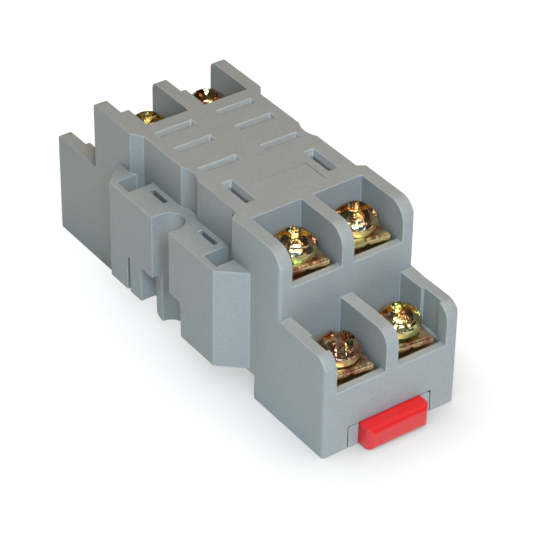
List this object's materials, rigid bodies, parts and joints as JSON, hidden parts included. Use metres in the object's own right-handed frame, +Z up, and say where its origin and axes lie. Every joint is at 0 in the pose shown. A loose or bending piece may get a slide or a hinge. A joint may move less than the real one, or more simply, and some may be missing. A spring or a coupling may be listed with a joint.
{
  "type": "relay socket",
  "caption": "Rail-mounted relay socket with two tiers of screw-clamp terminal bays at each end, blade slots in a seat between them, panel-screw ears and a sliding rail clip.",
  "frame": {"origin": "on the underside, at the middle of the rail channel's mouth", "axes": "+X across the width, +Y along the length away from the clip end, +Z up from the rail to the relay seat"},
  "size_m": [0.0306, 0.0705, 0.0277],
  "materials": {
    "housing_plastic": "moulded satin grey",
    "cover_plastic": "moulded satin grey",
    "clip_plastic": "moulded red, half gloss",
    "screw_plating": "bright yellow passivated zinc",
    "plate_plating": "bright yellow passivated zinc",
    "strip_brass": "rolled brass",
    "contact_brass": "rolled spring brass"
  },
  "bodies": {
    "housing": {"housing": "housing_plastic", "base_cover": "cover_plastic", "strip_near_low_left": "strip_brass", "strip_near_low_right": "strip_brass", "strip_near_high_left": "strip_brass", "strip_near_high_right": "strip_brass", "strip_far_low_left": "strip_brass", "strip_far_low_right": "strip_brass", "strip_far_high_left": "strip_brass", "strip_far_high_right": "strip_brass", "contact_near_low_left": "contact_brass", "contact_near_low_right": "contact_brass", "contact_near_high_left": "contact_brass", "contact_near_high_right": "contact_brass", "contact_far_low_left": "contact_brass", "contact_far_low_right": "contact_brass", "contact_far_high_left": "contact_brass", "contact_far_high_right": "contact_brass"},
    "clip": {"rail_clip": "clip_plastic"},
    "clamp_near_low_left": {"plate_near_low_left": "plate_plating"},
    "screw_near_low_left": {"screw_near_low_left": "screw_plating"},
    "clamp_near_low_right": {"plate_near_low_right": "plate_plating"},
    "screw_near_low_right": {"screw_near_low_right": "screw_plating"},
    "clamp_near_high_left": {"plate_near_high_left": "plate_plating"},
    "screw_near_high_left": {"screw_near_high_left": "screw_plating"},
    "clamp_near_high_right": {"plate_near_high_right": "plate_plating"},
    "screw_near_high_right": {"screw_near_high_right": "screw_plating"},
    "clamp_far_low_left": {"plate_far_low_left": "plate_plating"},
    "screw_far_low_left": {"screw_far_low_left": "screw_plating"},
    "clamp_far_low_right": {"plate_far_low_right": "plate_plating"},
    "screw_far_low_right": {"screw_far_low_right": "screw_plating"},
    "clamp_far_high_left": {"plate_far_high_left": "plate_plating"},
    "screw_far_high_left": {"screw_far_high_left": "screw_plating"},
    "clamp_far_high_right": {"plate_far_high_right": "plate_plating"},
    "screw_far_high_right": {"screw_far_high_right": "screw_plating"}
  },
  "joints": [
    {"name": "clip_pull", "type": "slide", "parent": "housing", "child": "clip", "axis": [0, -1, 0], "range_m": [0, 0.0024], "stiffness_N_per_m": 3000},
    {"name": "lift_near_low_left", "type": "slide", "parent": "housing", "child": "clamp_near_low_left", "axis": [0, 0, 1], "range_m": [-0.00045, 0.0015]},
    {"name": "turn_near_low_left", "type": "hinge", "parent": "clamp_near_low_left", "child": "screw_near_low_left", "pos_m": [-0.0052, -0.0287, 0.0102], "axis": [0, 0, 1], "range_deg": [-271, 901]},
    {"name": "lift_near_low_right", "type": "slide", "parent": "housing", "child": "clamp_near_low_right", "axis": [0, 0, 1], "range_m": [-0.00045, 0.0015]},
    {"name": "turn_near_low_right", "type": "hinge", "parent": "clamp_near_low_right", "child": "screw_near_low_right", "pos_m": [0.0052, -0.0287, 0.0102], "axis": [0, 0, 1], "range_deg": [-271, 901]},
    {"name": "lift_near_high_left", "type": "slide", "parent": "housing", "child": "clamp_near_high_left", "axis": [0, 0, 1], "range_m": [-0.00035, 0.0015]},
    {"name": "turn_near_high_left", "type": "hinge", "parent": "clamp_near_high_left", "child": "screw_near_high_left", "pos_m": [-0.0052, -0.0182, 0.0215], "axis": [0, 0, 1], "range_deg": [-211, 901]},
    {"name": "lift_near_high_right", "type": "slide", "parent": "housing", "child": "clamp_near_high_right", "axis": [0, 0, 1], "range_m": [-0.00045, 0.0015]},
    {"name": "turn_near_high_right", "type": "hinge", "parent": "clamp_near_high_right", "child": "screw_near_high_right", "pos_m": [0.0052, -0.0182, 0.0215], "axis": [0, 0, 1], "range_deg": [-271, 901]},
    {"name": "lift_far_low_left", "type": "slide", "parent": "housing", "child": "clamp_far_low_left", "axis": [0, 0, 1], "range_m": [-0.00045, 0.0015]},
    {"name": "turn_far_low_left", "type": "hinge", "parent": "clamp_far_low_left", "child": "screw_far_low_left", "pos_m": [-0.0052, 0.0287, 0.0102], "axis": [0, 0, 1], "range_deg": [-271, 901]},
    {"name": "lift_far_low_right", "type": "slide", "parent": "housing", "child": "clamp_far_low_right", "axis": [0, 0, 1], "range_m": [-0.00045, 0.0015]},
    {"name": "turn_far_low_right", "type": "hinge", "parent": "clamp_far_low_right", "child": "screw_far_low_right", "pos_m": [0.0052, 0.0287, 0.0102], "axis": [0, 0, 1], "range_deg": [-271, 901]},
    {"name": "lift_far_high_left", "type": "slide", "parent": "housing", "child": "clamp_far_high_left", "axis": [0, 0, 1], "range_m": [-0.00005, 0.0015]},
    {"name": "turn_far_high_left", "type": "hinge", "parent": "clamp_far_high_left", "child": "screw_far_high_left", "pos_m": [-0.0052, 0.0182, 0.0215], "axis": [0, 0, 1], "range_deg": [-31, 901]},
    {"name": "lift_far_high_right", "type": "slide", "parent": "housing", "child": "clamp_far_high_right", "axis": [0, 0, 1], "range_m": [-0.0003, 0.0015]},
    {"name": "turn_far_high_right", "type": "hinge", "parent": "clamp_far_high_right", "child": "screw_far_high_right", "pos_m": [0.0052, 0.0182, 0.0215], "axis": [0, 0, 1], "range_deg": [-181, 901]}
  ],
  "couplings": [
    {"joint": "turn_near_low_left", "follows": "lift_near_low_left", "rad_per_m": 10472},
    {"joint": "turn_near_low_right", "follows": "lift_near_low_right", "rad_per_m": 10472},
    {"joint": "turn_near_high_left", "follows": "lift_near_high_left", "rad_per_m": 10472},
    {"joint": "turn_near_high_right", "follows": "lift_near_high_right", "rad_per_m": 10472},
    {"joint": "turn_far_low_left", "follows": "lift_far_low_left", "rad_per_m": 10472},
    {"joint": "turn_far_low_right", "follows": "lift_far_low_right", "rad_per_m": 10472},
    {"joint": "turn_far_high_left", "follows": "lift_far_high_left", "rad_per_m": 10472},
    {"joint": "turn_far_high_right", "follows": "lift_far_high_right", "rad_per_m": 10472}
  ]
}
